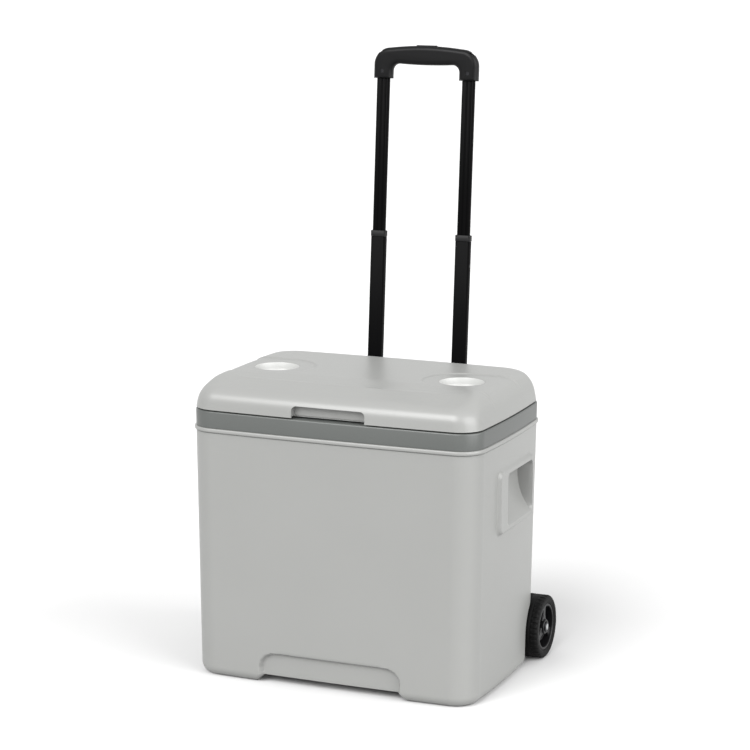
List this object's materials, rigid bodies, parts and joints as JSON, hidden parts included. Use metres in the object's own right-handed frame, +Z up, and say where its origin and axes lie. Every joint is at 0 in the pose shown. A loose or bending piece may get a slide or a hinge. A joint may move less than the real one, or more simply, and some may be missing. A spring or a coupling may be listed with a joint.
{
  "type": "cooler on wheels",
  "caption": "Insulated box with a hinged lid and cup wells, side hand grips, rear wheels and a telescopic pull handle.",
  "frame": {"origin": "centre of the body's underside, on the floor plane", "axes": "+X to the cooler's right, -Y out of its front, +Z up"},
  "size_m": [0.5072, 0.4123, 0.9806],
  "materials": {
    "shell_plastic": "satin",
    "trim_plastic": "satin",
    "liner_plastic": "satin",
    "foam": "matte",
    "black_plastic": "satin",
    "tube_black": "satin",
    "steel": "satin",
    "rubber": "matte",
    "hub_plastic": "satin"
  },
  "bodies": {
    "cooler_body": {"outer_shell": "shell_plastic", "foam_core": "foam", "inner_liner": "liner_plastic", "collar": "trim_plastic", "rear_housing": "black_plastic", "top_guide": "black_plastic", "axle_bracket": "black_plastic", "axle": "steel", "hinge_pin_left": "steel", "hinge_pin_right": "steel", "fixed_tube_left": "tube_black", "fixed_tube_right": "tube_black", "guide_bush_left": "black_plastic", "guide_bush_right": "black_plastic", "washer_left": "steel", "washer_right": "steel", "axle_cap_left": "steel", "axle_cap_right": "steel"},
    "lid": {"lid_shell": "shell_plastic", "lid_foam": "foam", "lid_liner": "liner_plastic", "lid_gasket": "rubber"},
    "handle_middle": {"mid_tube_left": "tube_black", "mid_tube_right": "tube_black", "mid_bush_left": "black_plastic", "mid_bush_right": "black_plastic", "lock_plug_left": "black_plastic", "lock_plug_right": "black_plastic"},
    "handle_top": {"grip_front": "black_plastic", "grip_rear": "black_plastic", "top_tube_left": "tube_black", "top_tube_right": "tube_black", "grip_screw_left": "steel", "grip_screw_right": "steel"},
    "button": {"release_button": "black_plastic", "button_bridge": "black_plastic", "push_rod_left": "steel", "push_rod_right": "steel"},
    "wheel_left": {"wheel_hub_left": "hub_plastic", "tyre_left": "rubber"},
    "wheel_right": {"wheel_hub_right": "hub_plastic", "tyre_right": "rubber"}
  },
  "joints": [
    {"name": "lid_hinge", "type": "hinge", "parent": "cooler_body", "child": "lid", "pos_m": [0, 0.163, 0.432], "axis": [-1, 0, 0], "range_deg": [0, 70]},
    {"name": "handle_middle_slide", "type": "slide", "parent": "cooler_body", "child": "handle_middle", "axis": [0, 0.0628, 0.998], "range_m": [-0.226, 0]},
    {"name": "handle_top_slide", "type": "slide", "parent": "handle_middle", "child": "handle_top", "axis": [0, 0.0628, 0.998], "range_m": [-0.2495, 0]},
    {"name": "release_button_press", "type": "slide", "parent": "handle_top", "child": "button", "axis": [0, -0.0628, -0.998], "range_m": [0, 0.004], "stiffness_N_per_m": 600, "springref_m": -0.003},
    {"name": "wheel_left_spin", "type": "hinge", "parent": "cooler_body", "child": "wheel_left", "pos_m": [-0.235, 0.155, 0.052], "axis": [1, 0, 0], "continuous": true},
    {"name": "wheel_right_spin", "type": "hinge", "parent": "cooler_body", "child": "wheel_right", "pos_m": [0.235, 0.155, 0.052], "axis": [1, 0, 0], "continuous": true}
  ]
}
